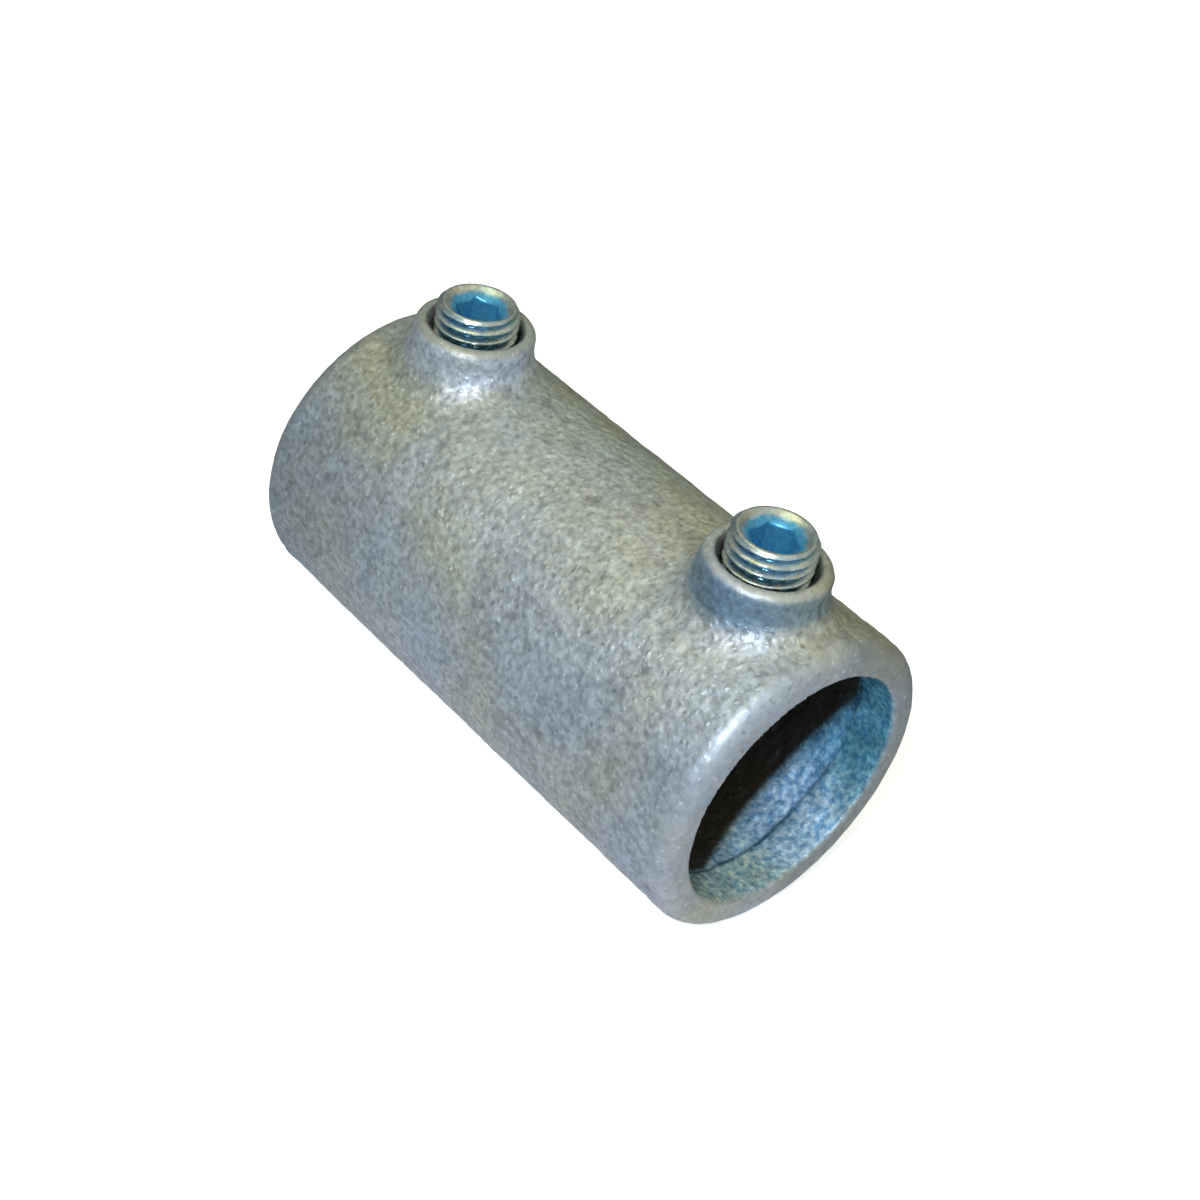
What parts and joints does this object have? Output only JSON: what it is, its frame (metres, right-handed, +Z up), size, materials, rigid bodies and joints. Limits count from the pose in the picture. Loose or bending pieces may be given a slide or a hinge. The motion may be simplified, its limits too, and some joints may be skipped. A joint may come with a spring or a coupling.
{
  "type": "straight tube coupler",
  "caption": "Cast sleeve that joins two round scaffold tubes end to end, each tube held by a hexagon-socket set screw in a raised boss.",
  "frame": {"origin": "on the standing surface, under the middle of the sleeve", "axes": "+X along the sleeve to the right-hand mouth, +Z up through the bosses, tube axis 31 mm above the origin"},
  "size_m": [0.119, 0.062, 0.0749],
  "materials": {
    "galvanised_casting": "hot-dip galvanised, rough as cast",
    "zinc_plated_steel": "bright zinc plated"
  },
  "bodies": {
    "sleeve": {"coupler_sleeve": "galvanised_casting"},
    "right_screw": {"set_screw_right": "zinc_plated_steel"},
    "left_screw": {"set_screw_left": "zinc_plated_steel"}
  },
  "joints": [
    {"name": "right_screw_travel", "type": "slide", "parent": "sleeve", "child": "right_screw", "axis": [0, 0, -1], "range_m": [-0.008, 0.00375]},
    {"name": "left_screw_travel", "type": "slide", "parent": "sleeve", "child": "left_screw", "axis": [0, 0, -1], "range_m": [-0.009, 0.00265]}
  ]
}
